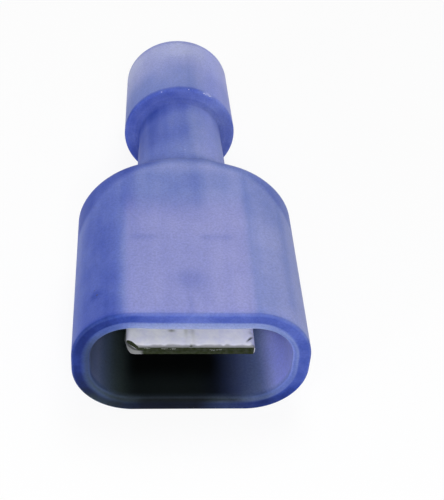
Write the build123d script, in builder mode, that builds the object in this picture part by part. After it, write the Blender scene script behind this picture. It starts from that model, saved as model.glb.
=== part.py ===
from build123d import *
import os
from math import degrees, pi, radians, sin, tan

# Fully insulated male spade terminal, lying on the flat side of its shroud. All sizes are in millimetres.
# The wire axis runs along Y. The mouth of the shroud faces -Y and the wire goes in from +Y.
# Names that end in _at are distances from the mouth along the wire axis.

# Nylon housing: shroud
shroud_width = 11.6
shroud_height = 6.8
shroud_side_flat = 0.8
shroud_wall = 0.85
mouth_outer_bevel = 0.1
mouth_inner_bevel = 0.3

# Nylon housing: shoulder, neck and collar
shoulder_at = 10.6
shoulder_angle = 54.0
shoulder_round = 1.7
neck_diameter = 5.2
neck_root_bevel = 0.25
collar_at = 18.9
collar_diameter = 6.7
collar_end_diameter = 6.4
collar_edge_bevel = 0.14
collar_mouth_bevel = 0.15
overall_length = 24.7

# Sheet metal terminal: folded tab
tab_width = 6.35
tab_thickness = 0.8
tab_length = 7.9
tab_recess = 0.92
fold_gap = 0.04
seam_gap = 0.07
tip_left_clip_width = 0.8
tip_left_clip_length = 0.6
tip_right_clip_width = 0.35
tip_right_clip_length = 0.3
tip_bevel_length = 0.35
tip_bevel_depth = 0.16
rear_corner_round = 0.5
detent_diameter = 1.3
detent_from_tip = 4.7

# Sheet metal terminal: heel behind the flaps, strip and wire barrel
heel_width = 6.2
heel_length = 1.1
heel_shoulder_length = 0.8
strip_width = 2.6
strip_curl = 4.0
curl_length = 1.9
curl_steps = 6
barrel_bore = 2.3
barrel_length = 5.2
barrel_seam = 0.06
barrel_mouth_bevel = 0.12
serration_count = 3
serration_pitch = 1.2
serration_width = 0.36
serration_depth = 0.08

# Insulation grip sleeve
sleeve_bore = 4.4
sleeve_wall = 0.2
sleeve_inset = 0.5

# Fits between the pieces
barrel_clearance = 0.025
barrel_stop_clearance = 0.05
throat_clearance = 0.05
sleeve_clearance = 0.025
sleeve_stop_clearance = 0.05
collar_step_length = 0.75

# Worked out from the sizes above
axis_height = shroud_height / 2
shroud_corner = (shroud_height - shroud_side_flat) / 2
mouth_y = -overall_length / 2
stock = (tab_thickness - fold_gap) / 2
tab_end_at = tab_recess + tab_length
heel_end_at = tab_end_at + heel_length
curl_at = heel_end_at + heel_shoulder_length
barrel_at = curl_at + curl_length
barrel_end_at = barrel_at + barrel_length
barrel_radius = barrel_bore / 2 + stock
neck_bore_radius = barrel_radius + barrel_clearance
throat_radius = barrel_bore / 2 + throat_clearance
throat_at = barrel_end_at + barrel_stop_clearance
sleeve_radius = sleeve_bore / 2 + sleeve_wall
collar_bore_radius = sleeve_radius + sleeve_clearance
collar_bore_at = collar_at + collar_step_length
sleeve_at = collar_bore_at + sleeve_stop_clearance
sleeve_end_at = overall_length - sleeve_inset

# Planes and axis: plan looks down on the part, side looks at it along X, both through the wire axis at the mouth
wire_axis = Axis((0, 0, axis_height), (0, 1, 0))
plan = Plane((0, mouth_y, axis_height), x_dir=(1, 0, 0), z_dir=(0, 0, 1))
side = Plane((0, mouth_y, axis_height), x_dir=(0, 1, 0), z_dir=(1, 0, 0))


def across(distance):
    # Plane square to the wire axis. Its normal points at the mouth, so an extrusion runs towards the mouth
    return Plane((0, mouth_y + distance, axis_height), x_dir=(1, 0, 0), z_dir=(0, -1, 0))


def shoulder_place(radius, inset):
    # Distance from the mouth at which the shoulder cone, set in by inset, has this radius
    angle = radians(shoulder_angle)
    return shoulder_at + (shroud_width / 2 - radius) / tan(angle) - inset / sin(angle)


def shroud_form(end_radius, end_length, inset=0.0):
    # Flat rounded prism cut off by a turned cone that ends in a short round length.
    # With an inset it is the hollow inside the same form.
    cone_end = shoulder_place(end_radius, inset)
    length = cone_end + end_length
    with BuildPart() as form:
        with BuildSketch(across(length)):
            RectangleRounded(shroud_width - 2 * inset, shroud_height - 2 * inset, shroud_corner - inset)
        extrude(amount=length)
        with BuildSketch(plan):
            with BuildLine():
                Polyline(
                    (0, 0),
                    (end_radius + cone_end * tan(radians(shoulder_angle)), 0),
                    (end_radius, cone_end),
                    (end_radius, length),
                    (0, length),
                    close=True,
                )
            make_face()
        revolve(axis=wire_axis, mode=Mode.INTERSECT)
    return form.part


# Housing: shroud, shoulder, neck and collar in one nylon moulding
neck_radius = neck_diameter / 2
neck_at = shoulder_place(neck_radius, 0.0)
outer_form = shroud_form(neck_radius, neck_root_bevel)
hollow_form = shroud_form(neck_bore_radius, shroud_wall, shroud_wall)

with BuildPart() as housing:
    add(outer_form)
    ridge_end_y = mouth_y + shoulder_place(shroud_height / 2, 0.0)
    ridge = housing.edges().filter_by(Axis.Y, reverse=True)
    fillet(ridge.filter_by_position(Axis.Y, mouth_y / 2, ridge_end_y), shoulder_round)

    # Round neck, bevelled where it meets the shoulder, and tapered collar
    with BuildSketch(plan) as turned:
        with BuildLine():
            root_at = neck_at - neck_root_bevel
            root_radius = neck_radius + 2 * neck_root_bevel * tan(radians(shoulder_angle / 2))
            Polyline(
                (0, root_at),
                (root_radius, root_at),
                (neck_radius, neck_at + neck_root_bevel),
                (neck_radius, collar_at),
                (collar_diameter / 2, collar_at),
                (collar_end_diameter / 2, overall_length),
                (0, overall_length),
                close=True,
            )
        make_face()
        chamfer(turned.vertices().sort_by(Axis.X)[-2:], collar_edge_bevel)
    revolve(axis=wire_axis)

    # Hollow of the shroud, then the bores for the barrel and the sleeve with a funnel for the wire between them
    add(hollow_form, mode=Mode.SUBTRACT)
    with BuildSketch(plan):
        with BuildLine():
            neck_bore_at = shoulder_place(neck_bore_radius, shroud_wall)
            Polyline(
                (0, neck_bore_at),
                (neck_bore_radius, neck_bore_at),
                (neck_bore_radius, throat_at),
                (throat_radius, throat_at),
                (sleeve_bore / 2, collar_bore_at),
                (collar_bore_radius, collar_bore_at),
                (collar_bore_radius, overall_length - collar_mouth_bevel),
                (collar_bore_radius + collar_mouth_bevel, overall_length),
                (0, overall_length),
                close=True,
            )
        make_face()
    revolve(axis=wire_axis, mode=Mode.SUBTRACT)

    # Lip round the mouth: a fine bevel outside and a lead-in for the mating terminal inside
    chamfer(housing.faces().sort_by(Axis.Y)[0].outer_wire().edges(), mouth_outer_bevel)
    chamfer(housing.faces().sort_by(Axis.Y)[0].inner_wires()[0].edges(), mouth_inner_bevel)

# Terminal: one piece of sheet, folded double into the tab, then a flat heel, a strip and the rolled wire barrel
with BuildPart() as terminal:
    # Folded section: round at both folds, with the seam where the two flaps meet on top
    with BuildSketch(across(tab_end_at)):
        SlotOverall(tab_width, tab_thickness)
        SlotOverall(tab_width - 2 * stock, fold_gap, mode=Mode.SUBTRACT)
        with Locations((0, tab_thickness / 4)):
            Rectangle(seam_gap, tab_thickness / 2, mode=Mode.SUBTRACT)
    extrude(amount=tab_length)

    # Outline from above: clipped front corners and rounded rear shoulders
    with BuildSketch(plan) as outline:
        with BuildLine():
            Polyline(
                (-tab_width / 2 + tip_left_clip_width, tab_recess),
                (tab_width / 2 - tip_right_clip_width, tab_recess),
                (tab_width / 2, tab_recess + tip_right_clip_length),
                (tab_width / 2, tab_end_at),
                (-tab_width / 2, tab_end_at),
                (-tab_width / 2, tab_recess + tip_left_clip_length),
                close=True,
            )
        make_face()
        fillet(outline.vertices().group_by(Axis.Y)[-1], rear_corner_round)
    extrude(amount=tab_thickness, both=True, mode=Mode.INTERSECT)

    # Outline from the side: bevelled tip
    with BuildSketch(side):
        with BuildLine():
            Polyline(
                (tab_recess, -tab_thickness / 2 + tip_bevel_depth),
                (tab_recess + tip_bevel_length, -tab_thickness / 2),
                (tab_end_at, -tab_thickness / 2),
                (tab_end_at, tab_thickness / 2),
                (tab_recess + tip_bevel_length, tab_thickness / 2),
                (tab_recess, tab_thickness / 2 - tip_bevel_depth),
                close=True,
            )
        make_face()
    extrude(amount=tab_width, both=True, mode=Mode.INTERSECT)

    # Detent hole
    with BuildSketch(plan):
        with Locations((0, tab_recess + detent_from_tip)):
            Circle(detent_diameter / 2)
    extrude(amount=tab_thickness, both=True, mode=Mode.SUBTRACT)

    # The lower layer runs on past the flaps as a heel, which narrows to a strip
    with BuildSketch(plan.offset(-tab_thickness / 2)):
        with BuildLine():
            Polyline(
                (-heel_width / 2, tab_end_at - rear_corner_round),
                (heel_width / 2, tab_end_at - rear_corner_round),
                (heel_width / 2, heel_end_at),
                (strip_width / 2, curl_at),
                (-strip_width / 2, curl_at),
                (-heel_width / 2, heel_end_at),
                close=True,
            )
        make_face()
    extrude(amount=stock)

    # The sides of the strip rise and close into the barrel as the sheet gets wider
    rolled_radius = barrel_radius - stock / 2
    rolled_width = 2 * pi * rolled_radius - barrel_seam
    flat_curvature = 2 * radians(strip_curl) / strip_width
    rolled_curvature = 1 / rolled_radius
    for step in range(curl_steps + 1):
        progress = step / curl_steps
        eased = progress**2 * (3 - 2 * progress)
        curvature = flat_curvature + (rolled_curvature - flat_curvature) * (1 - (1 - progress) ** 2)
        width = strip_width + (rolled_width - strip_width) * progress**1.3
        bottom = -tab_thickness / 2 + (tab_thickness / 2 - barrel_radius) * eased
        half_angle = degrees(width * curvature / 2)
        centre = (0, bottom + stock / 2 + 1 / curvature)
        with BuildSketch(across(curl_at + progress * curl_length)) as section:
            with BuildLine():
                outer = CenterArc(centre, 1 / curvature + stock / 2, 270 - half_angle, 2 * half_angle)
                inner = CenterArc(centre, 1 / curvature - stock / 2, 270 - half_angle, 2 * half_angle)
                Line(outer @ 0, inner @ 0)
                Line(outer @ 1, inner @ 1)
            make_face()
        if step == 0:
            strip_section = section.sketch
        if step == curl_steps:
            barrel_section = section.sketch
    loft()
    extrude(strip_section, amount=heel_shoulder_length)
    extrude(barrel_section, amount=-barrel_length)

    # Bevel at the wire end and serrations that bite the strands
    with BuildSketch(plan):
        with BuildLine():
            Polyline(
                (0, barrel_end_at - barrel_mouth_bevel),
                (barrel_bore / 2, barrel_end_at - barrel_mouth_bevel),
                (barrel_bore / 2 + barrel_mouth_bevel, barrel_end_at),
                (0, barrel_end_at),
                close=True,
            )
        make_face()
        serration_radius = barrel_bore / 2 + serration_depth
        with Locations((serration_radius / 2, barrel_at + barrel_length / 2)):
            with GridLocations(0, serration_pitch, 1, serration_count):
                Rectangle(serration_radius, serration_width)
    revolve(axis=wire_axis, mode=Mode.SUBTRACT)

# Grip sleeve: thin tube in the collar that is crimped on the wire's insulation
with BuildPart() as grip_sleeve:
    with BuildSketch(plan):
        with Locations((sleeve_radius - sleeve_wall / 2, (sleeve_at + sleeve_end_at) / 2)):
            Rectangle(sleeve_wall, sleeve_end_at - sleeve_at)
    revolve(axis=wire_axis)

os.makedirs("parts", exist_ok=True)
for name, builder in (("housing", housing), ("terminal", terminal), ("grip_sleeve", grip_sleeve)):
    builder.part.label = name
    export_step(builder.part, f"parts/{name}.step")
    print(name, round(builder.part.volume, 3), builder.part.bounding_box())
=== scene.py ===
import math

import bmesh
import bpy
import numpy as np
from mathutils import Matrix, Vector


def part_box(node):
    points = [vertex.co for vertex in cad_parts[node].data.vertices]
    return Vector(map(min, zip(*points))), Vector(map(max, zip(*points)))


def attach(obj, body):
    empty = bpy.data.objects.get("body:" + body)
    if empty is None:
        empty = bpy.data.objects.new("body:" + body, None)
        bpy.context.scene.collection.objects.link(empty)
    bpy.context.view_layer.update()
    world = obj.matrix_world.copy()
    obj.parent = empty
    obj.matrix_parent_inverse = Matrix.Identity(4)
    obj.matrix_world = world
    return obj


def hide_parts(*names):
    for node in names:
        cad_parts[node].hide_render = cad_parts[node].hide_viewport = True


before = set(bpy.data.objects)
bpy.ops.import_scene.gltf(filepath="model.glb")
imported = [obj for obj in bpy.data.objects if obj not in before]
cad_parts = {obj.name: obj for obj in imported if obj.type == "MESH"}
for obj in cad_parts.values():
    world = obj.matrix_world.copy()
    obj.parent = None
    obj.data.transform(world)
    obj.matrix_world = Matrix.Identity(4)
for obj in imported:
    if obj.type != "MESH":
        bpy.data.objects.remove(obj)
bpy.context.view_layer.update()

scene = bpy.context.scene
mm = 0.001


# Node helpers: a node with its inputs by name or number, wired where the value is a socket

def addNode(tree, kind, settings=None, **inputs):
    node = tree.nodes.new(kind)
    for key, value in (settings or {}).items():
        setattr(node, key, value)
    for key, value in inputs.items():
        socket = node.inputs[int(key[1:])] if key[1:].isdigit() else node.inputs[key.replace("_", " ")]
        if isinstance(value, bpy.types.NodeSocket):
            tree.links.new(value, socket)
        else:
            socket.default_value = value
    return node


def calculate(tree, operation, first, second=0.0, clamp=False):
    settings = {"operation": operation, "use_clamp": clamp}
    return addNode(tree, "ShaderNodeMath", settings, i0=first, i1=second).outputs[0]


def ramp(tree, value, low, high, fromValue=0.0, toValue=1.0):  # smooth step from low to high
    node = addNode(tree, "ShaderNodeMapRange", {"interpolation_type": "SMOOTHSTEP"}, Value=value)
    for name, number in (("From Min", low), ("From Max", high), ("To Min", fromValue), ("To Max", toValue)):
        node.inputs[name].default_value = number
    return node.outputs["Result"]


def mixColour(tree, factor, first, second, blend="MIX"):
    node = tree.nodes.new("ShaderNodeMix")
    node.data_type, node.blend_type = "RGBA", blend
    for socket, value in ((node.inputs[0], factor), (node.inputs[6], first), (node.inputs[7], second)):
        if isinstance(value, bpy.types.NodeSocket):
            tree.links.new(value, socket)
        else:
            socket.default_value = (*value, 1.0) if isinstance(value, tuple) and len(value) == 3 else value
    return node.outputs[2]


def noise(tree, vector, scale, detail=2.0, roughness=0.5):
    node = addNode(tree, "ShaderNodeTexNoise", Vector=vector, Scale=scale, Detail=detail, Roughness=roughness)
    return node.outputs[0]


def attribute(tree, name):
    return addNode(tree, "ShaderNodeAttribute", {"attribute_name": name}).outputs["Fac"]


def newMaterial(name):  # shader and the place on the part in millimetres
    material = bpy.data.materials.new(name)
    material.use_nodes = True
    tree = material.node_tree
    tree.nodes.clear()
    output = tree.nodes.new("ShaderNodeOutputMaterial")
    shader = tree.nodes.new("ShaderNodeBsdfPrincipled")
    tree.links.new(shader.outputs[0], output.inputs[0])
    coords = addNode(tree, "ShaderNodeTexCoord").outputs["Object"]
    place = addNode(tree, "ShaderNodeMapping", Vector=coords, Scale=(1000, 1000, 1000)).outputs[0]
    return material, tree, shader, place


def addBump(tree, shader, look, height):
    deep = look["bumpDepth"] * mm
    bump = addNode(tree, "ShaderNodeBump", Strength=look["bump"], Distance=deep, Height=height)
    tree.links.new(bump.outputs[0], shader.inputs["Normal"])


def srgb(red, green, blue):  # a colour as a picture editor shows it, 0 to 255
    shares = (c / 255 for c in (red, green, blue))
    return tuple(c / 12.92 if c <= 0.04045 else ((c + 0.055) / 1.055) ** 2.4 for c in shares)


# Blue nylon: milky, deep where the eye looks along the wall; painted light where the tab shows through and on
# the right, painted shade on the left and in the hollow

nylonLook = {
    "steps": (  # colour by depth of nylon that the light goes through, deepened further where shade is painted
        (-0.2, srgb(172, 178, 218)),
        (0.0, srgb(154, 160, 209)),
        (0.2, srgb(138, 148, 202)),
        (0.4, srgb(120, 134, 194)),
        (0.6, srgb(99, 114, 185)),
        (0.8, srgb(76, 92, 171)),
        (1.0, srgb(44, 64, 148)),
        (1.2, srgb(16, 32, 104)),
        (1.4, srgb(14, 20, 54)),
    ),
    "lightFromTab": srgb(156, 150, 206),
    "lit": srgb(146, 155, 240),
    "shadeGrey": srgb(108, 128, 120),
    "dark": srgb(4, 5, 5),
    "roughness": 0.45,
    "shine": 0.03,
    "milkiness": 0.6,
    "scatter": (0.7, 0.8, 1.0),
    "scatterDepth": 0.8,
    "grainScale": 9.0,
    "mottle": 0.12,
    "cloudScale": 0.5,
    "cloud": 0.05,
    "streakScale": (1.3, 0.12, 1.3),  # flow lines along the wire axis
    "streak": 0.05,
    "bump": 0.25,
    "bumpDepth": 0.02,
}


def makeNylon():
    look = nylonLook
    material, tree, shader, place = newMaterial("nylon")
    along = addNode(tree, "ShaderNodeMapping", Vector=place, Scale=look["streakScale"]).outputs[0]
    grain = noise(tree, place, look["grainScale"], 3.0, 0.7)
    drift = ramp(tree, noise(tree, place, look["cloudScale"]), 0.3, 0.7, -look["cloud"], look["cloud"])
    flow = ramp(tree, noise(tree, along, 1.0), 0.3, 0.7, -look["streak"], look["streak"])
    depth = calculate(tree, "ADD", calculate(tree, "ADD", attribute(tree, "nylonDepthAndShade"), drift), flow)
    first, last = look["steps"][0][0], look["steps"][-1][0]
    share = addNode(tree, "ShaderNodeMapRange", Value=depth, From_Min=first, From_Max=last).outputs[0]
    colours = tree.nodes.new("ShaderNodeValToRGB")
    steps = colours.color_ramp.elements
    while len(steps) < len(look["steps"]):
        steps.new(0.5)
    for step, (position, colour) in zip(steps, look["steps"]):
        step.position, step.color = (position - first) / (last - first), (*colour, 1.0)
    tree.links.new(share, colours.inputs[0])
    colour = colours.outputs[0]
    # painted light from the tab under the wall and through the right side, then the grey and the dark of the
    # painted shade in the hollow
    for mask, shade in (("metalBehind", "lightFromTab"), ("litThrough", "lit"), ("shadeGreying", "shadeGrey"), ("hollowShade", "dark")):
        colour = mixColour(tree, attribute(tree, mask), colour, look[shade])
    shade = ramp(tree, grain, 0.25, 0.75, 1.0 - look["mottle"], 1.0 + look["mottle"])
    grey = addNode(tree, "ShaderNodeCombineColor", Red=shade, Green=shade, Blue=shade).outputs[0]
    rough = ramp(tree, grain, 0.3, 0.7, look["roughness"] - 0.05, look["roughness"] + 0.05)
    tree.links.new(mixColour(tree, 1.0, colour, grey, "MULTIPLY"), shader.inputs["Base Color"])
    tree.links.new(rough, shader.inputs["Roughness"])
    shader.inputs["Specular IOR Level"].default_value = look["shine"]
    shader.inputs["Subsurface Weight"].default_value = look["milkiness"]
    shader.inputs["Subsurface Radius"].default_value = look["scatter"]
    shader.inputs["Subsurface Scale"].default_value = look["scatterDepth"] * mm
    shader.inputs["IOR"].default_value = 1.53
    addBump(tree, shader, look, grain)
    return material


# Tinned sheet: soft white tin with pits and smears, bare metal on the cut edges; grime and bare metal
# darkened further as painted shade at the tip's front, in its crease and at the lower layer's corner

tinLook = {
    "tin": srgb(244, 244, 255),
    "dull": srgb(230, 230, 252),
    "grimeAndShade": srgb(92, 96, 84),
    "bareAndShade": srgb(30, 38, 14),
    "roughness": 0.5,
    "cutRoughness": 0.4,  # added on the cut edges
    "shine": 0.12,
    "metallic": 0.05,
    "smearScale": 1.6,
    "grainScale": 14.0,
    "patchScale": 5.0,
    "bump": 0.3,
    "bumpDepth": 0.01,
}


def makeTin(name, look):
    material, tree, shader, place = newMaterial(name)
    smear = noise(tree, place, look["smearScale"], 4.0, 0.6)
    grain = noise(tree, place, look["grainScale"], 3.0)
    colour = mixColour(tree, ramp(tree, smear, 0.35, 0.7), look["tin"], look["dull"])
    # grime with painted shade, then bare metal, which also stands in for painted shade on the tip
    colour = mixColour(tree, attribute(tree, "grimeAndShade"), colour, look["grimeAndShade"])
    patch = ramp(tree, noise(tree, place, look["patchScale"], 3.0), 0.3, 0.7, 0.975, 1.0)
    cutEdgeAndShade = attribute(tree, "cutEdgeAndShade")
    colour = mixColour(tree, calculate(tree, "MULTIPLY", cutEdgeAndShade, patch), colour, look["bareAndShade"])
    rough = ramp(tree, grain, 0.3, 0.7, look["roughness"] - 0.08, look["roughness"] + 0.1)
    rough = calculate(tree, "ADD", rough, calculate(tree, "MULTIPLY", cutEdgeAndShade, look["cutRoughness"]))
    tree.links.new(colour, shader.inputs["Base Color"])
    tree.links.new(rough, shader.inputs["Roughness"])
    shader.inputs["Metallic"].default_value = look["metallic"]
    shader.inputs["Specular IOR Level"].default_value = look["shine"]
    addBump(tree, shader, look, smear)
    return material


fleckLook = {"pale": srgb(206, 212, 236), "dark": srgb(26, 28, 42), "roughness": 0.5, "grainScale": 9.0}


def makeFleck():  # grit and flash, pale or dark by its own attribute
    look = fleckLook
    material, tree, shader, place = newMaterial("fleck")
    uneven = ramp(tree, noise(tree, place, look["grainScale"]), 0.3, 0.7, -0.1, 0.1)
    share = calculate(tree, "ADD", attribute(tree, "darkness"), uneven, clamp=True)
    tree.links.new(mixColour(tree, share, look["pale"], look["dark"]), shader.inputs["Base Color"])
    rough = ramp(tree, uneven, -0.1, 0.1, look["roughness"] - 0.1, look["roughness"] + 0.1)
    tree.links.new(rough, shader.inputs["Roughness"])
    return material


# Mesh helpers

def newPiece(name, mesh, material):
    piece = bpy.data.objects.new(name, mesh)
    scene.collection.objects.link(piece)
    mesh.materials.clear()
    mesh.materials.append(material)
    return piece


def turnOutwards(mesh):
    solid = bmesh.new()
    solid.from_mesh(mesh)
    if solid.calc_volume(signed=True) < 0:
        bmesh.ops.reverse_faces(solid, faces=solid.faces)
    solid.to_mesh(mesh)
    solid.free()


def shadeSmooth(mesh):
    mesh.polygons.foreach_set("use_smooth", [True] * len(mesh.polygons))


def ringMesh(name, rings):  # closed round each ring and from the last ring to the first
    count, around = rings.shape[:2]
    faces = []
    for i in range(count):
        for j in range(around):
            k, nextJ = (i + 1) % count, (j + 1) % around
            faces.append((i * around + j, i * around + nextJ, k * around + nextJ, k * around + j))
    mesh = bpy.data.meshes.new(name)
    mesh.from_pydata(rings.reshape(-1, 3).tolist(), [], faces)
    turnOutwards(mesh)
    shadeSmooth(mesh)
    return mesh


def setAttribute(mesh, name, values):
    stored = mesh.attributes.new(name, "FLOAT", "POINT")
    stored.data.foreach_set("value", np.asarray(values, np.float32))


def smooth(value, low, high):  # smooth step
    share = np.clip((value - low) / (high - low), 0, 1)
    return share * share * (3 - 2 * share)


def softLine(value, middle, width):  # 1 on the line, falling off at both sides
    return np.exp(-(((value - middle) / width) ** 2))


def softSpot(x, y, middleX, middleY, wide, high):
    return np.exp(-(((x - middleX) / wide) ** 2) - ((y - middleY) / high) ** 2)


def between(value, start, full, fade, end):  # 1 from full to fade, 0 before start and after end
    return smooth(value, start, full) - smooth(value, fade, end)


def stepped(value, level, *steps):  # each step adds its amount as value goes from low to high
    return level + sum(amount * smooth(value, low, high) for amount, low, high in steps)


def mix(first, second, share):
    return first * (1 - share) + second * share


def finishedMesh(holder):  # the object with its modifiers as a plain mesh, and the object gone
    evaluated = holder.evaluated_get(bpy.context.evaluated_depsgraph_get())
    mesh = bpy.data.meshes.new_from_object(evaluated)
    holder.modifiers.clear()
    bpy.data.objects.remove(holder)
    return mesh


# Geometry Nodes helpers

def newGeometryTree(name, sizes):  # sizes are the named inputs with their kinds
    tree = bpy.data.node_groups.new(name, "GeometryNodeTree")
    tree.interface.new_socket("Geometry", in_out="INPUT", socket_type="NodeSocketGeometry")
    for label, kind in sizes:
        tree.interface.new_socket(label, in_out="INPUT", socket_type="NodeSocket" + kind)
    tree.interface.new_socket("Geometry", in_out="OUTPUT", socket_type="NodeSocketGeometry")
    return tree, tree.nodes.new("NodeGroupInput").outputs, tree.nodes.new("NodeGroupOutput")


def finishTree(tree, geometry, finish, output):
    real = addNode(tree, "GeometryNodeRealizeInstances", None, Geometry=geometry).outputs[0]
    dressed = addNode(tree, "GeometryNodeSetMaterial", None, Geometry=real, Material=finish).outputs[0]
    tree.links.new(dressed, output.inputs[0])


def plainMesh(name, base, tree, values):  # the tree's result on base as a plain mesh
    holder = bpy.data.objects.new(name, base)
    scene.collection.objects.link(holder)
    nodes = holder.modifiers.new("nodes", "NODES")
    nodes.node_group = tree
    for item in tree.interface.items_tree:
        if item.item_type == "SOCKET" and item.in_out == "INPUT" and item.name in values:
            nodes[item.identifier] = values[item.name]
    return finishedMesh(holder)


# Housing: shroud, shoulder, neck and collar, one closed wall

housingSizes = {
    "corner": 3.0,  # round of the section, in mm as all the sizes here
    "wall": 0.88,
    "ceilingExtra": 0.19,
    "ceilingFrom": (0.2, 0.9),  # sine of the angle at which the ceiling starts and is full
    "lipOutside": 0.12,
    "faceWidth": 0.5,
    "lipDeep": 0.13,
    "shoulderAt": 10.6,
    "shoulderAngle": 54.0,
    "shoulderBlend": 0.95,
    "innerBlendShare": 0.6,
    "neckRadius": 2.6,
    "neckEndRadius": 2.46,
    "neckTaper": (14.5, 18.8),
    "neckBlend": 0.3,
    "neckFillet": 0.26,
    "collarAt": 18.9,
    "collarRadius": 3.35,
    "collarEndRadius": 3.2,
    "collarEdge": 0.16,
    "barrelSeat": 1.555,
    "throatRadius": 1.2,
    "throatAt": 17.87,
    "funnelEndRadius": 2.2,
    "sleeveSeat": 2.425,
    "sleeveSeatAt": 19.65,
    "around": 240,
    "outsideRows": ((0.2, 9.45, 60), (9.55, 13.6, 52), (13.75, 18.6, 28)),  # from, to, how many
    "insideRows": ((13.3, 8.8, 36), (8.4, 0.4, 30)),
}
housingLow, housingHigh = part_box("housing")
mouthY = housingLow.y / mm
partLength = (housingHigh.y - housingLow.y) / mm
halfWidth = (housingHigh.x - housingLow.x) / 2 / mm
halfHeight = (housingHigh.z - housingLow.z) / 2 / mm
axisZ = halfHeight


def sectionRadius(angles, inset):  # distance from the wire axis to the rounded section, set in by inset
    s = housingSizes
    a, b, r = halfWidth - inset, halfHeight - inset, s["corner"] - inset
    c, d = np.abs(np.cos(angles)), np.abs(np.sin(angles))
    side, top = a / np.maximum(c, 1e-9), b / np.maximum(d, 1e-9)
    along = (a - r) * c + (b - r) * d
    corner = along + np.sqrt(np.maximum(along**2 - (a - r) ** 2 - (b - r) ** 2 + r * r, 0))
    return np.where(side * d <= b - r, side, np.where(top * c <= a - r, top, corner))


def evenAngles(count):  # angles that are evenly spaced along the outside of the section
    fine = np.linspace(0, 2 * np.pi, 4001)
    radii = sectionRadius(fine, 0.0)
    points = np.stack([radii * np.cos(fine), radii * np.sin(fine)], 1)
    lengths = np.concatenate([[0], np.cumsum(np.linalg.norm(np.diff(points, axis=0), axis=1))])
    return np.interp(np.linspace(0, lengths[-1], count, endpoint=False), lengths, fine)


def smoothMin(a, b, blend):
    overlap = np.maximum(blend - np.abs(a - b), 0) / blend
    return np.minimum(a, b) - overlap**2 * blend / 4


def form(angles, distance, inset, innermost, blend):  # section, shoulder cone and neck in one
    s = housingSizes
    turned = math.radians(s["shoulderAngle"])
    cone = halfWidth - (distance - s["shoulderAt"] + inset / math.sin(turned)) * math.tan(turned)
    blendHere = s["shoulderBlend"] * np.where(np.asarray(inset) > 0, s["innerBlendShare"], 1)
    full = np.ones_like(angles)
    body = smoothMin(sectionRadius(angles, inset), full * cone, blendHere)
    return -smoothMin(-body, -full * innermost, blend)


def outsideRadius(angles, distance):
    s = housingSizes
    neck = mix(s["neckRadius"], s["neckEndRadius"], smooth(distance, *s["neckTaper"]))
    return form(angles, distance, 0.0, neck, s["neckBlend"])


def wallAt(angles):  # a little thicker over the tab
    s = housingSizes
    return s["wall"] + s["ceilingExtra"] * smooth(np.sin(angles), *s["ceilingFrom"])


def housingProfile():
    s = housingSizes
    angles = evenAngles(s["around"])
    full = np.ones_like(angles)
    quarter = math.pi / 2
    rings = []  # distance from the mouth, radii, and how much it is rim, its inset, collar front and inside

    def ring(distance, radii, rim=0.0, inset=0.0, face=0.0, inside=0.0):
        rings.append((distance, radii, (rim, inset, face, inside)))

    # rim: flat face, then the round to the outside
    lipOut, faceWidth, wall = s["lipOutside"], s["faceWidth"], wallAt(angles)
    for inset in np.linspace(faceWidth, lipOut, 14):
        ring(0.0, sectionRadius(angles, inset), rim=1.0, inset=inset)
    for turn in np.linspace(0, quarter, 5)[1:]:
        inset = lipOut * (1 - math.sin(turn))
        ring(lipOut * (1 - math.cos(turn)), sectionRadius(angles, inset), rim=1.0 - 0.45 * turn / quarter)

    # shroud, shoulder and neck
    for rows in s["outsideRows"]:
        for distance in np.linspace(*rows):
            ring(distance, outsideRadius(angles, distance))

    # collar: fillet, front ring, edge, tapered side and rear edge
    edge, fillet, collarAt = s["collarEdge"], s["neckFillet"], s["collarAt"]
    for turn in np.linspace(0, quarter, 7):
        radius = s["neckEndRadius"] + fillet * (1 - math.cos(turn))
        ring(collarAt - fillet * (1 - math.sin(turn)), full * radius, face=0.4 + 0.6 * turn / quarter)
    inner, outer = s["neckEndRadius"] + fillet, s["collarRadius"] - edge
    for share in (0.15, 0.3, 0.5, 0.7, 0.85):
        ring(collarAt, full * mix(inner, outer, share), face=1.0)
    for turn in np.linspace(0, quarter, 6):
        radius = s["collarRadius"] - edge * (1 - math.sin(turn))
        ring(collarAt + edge * (1 - math.cos(turn)), full * radius, face=1.0 - turn / quarter)
    for share in np.linspace(0.06, 0.965, 16):
        ring(mix(collarAt, partLength, share), full * mix(s["collarRadius"], s["collarEndRadius"], share))
    for turn in np.linspace(0, quarter, 6):
        radius = s["collarEndRadius"] - edge * (1 - math.cos(turn))
        ring(partLength - edge * (1 - math.sin(turn)), full * radius)

    # way in for the wire: rounded edge, seat of the sleeve, funnel and seat of the barrel
    for turn in np.linspace(0, quarter, 4):
        radius = s["sleeveSeat"] + edge * (1 - math.sin(turn))
        ring(partLength - edge * (1 - math.cos(turn)), full * radius, inside=0.2)
    for distance in np.linspace(partLength - 0.5, s["sleeveSeatAt"] + 0.05, 5):
        ring(distance, full * s["sleeveSeat"], inside=0.5)
    ring(s["sleeveSeatAt"], full * (s["sleeveSeat"] - 0.03), inside=0.6)
    for share in np.linspace(0, 1, 8):
        radius = mix(s["funnelEndRadius"], s["throatRadius"], share)
        ring(mix(s["sleeveSeatAt"], s["throatAt"], share), full * radius, inside=0.8)
    for distance in np.linspace(s["throatAt"] - 0.001, 13.6, 10):
        ring(distance, full * s["barrelSeat"], inside=0.9)

    # hollow, and the lip that leads back to the rim's face
    for rows in s["insideRows"]:
        for distance in np.linspace(*rows):
            ring(distance, form(angles, distance, wall, s["barrelSeat"], s["neckBlend"]), inside=1.0)
    for turn in np.linspace(0, quarter, 10)[:-1]:
        inset = wall - (wall - faceWidth) * (1 - math.cos(turn))
        inside = 0.5 * max(0.0, 1 - turn / 0.4)
        radii = sectionRadius(angles, inset)
        ring(s["lipDeep"] * (1 - math.sin(turn)), radii, rim=1.0, inset=inset, inside=inside)
    return angles, rings
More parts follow.
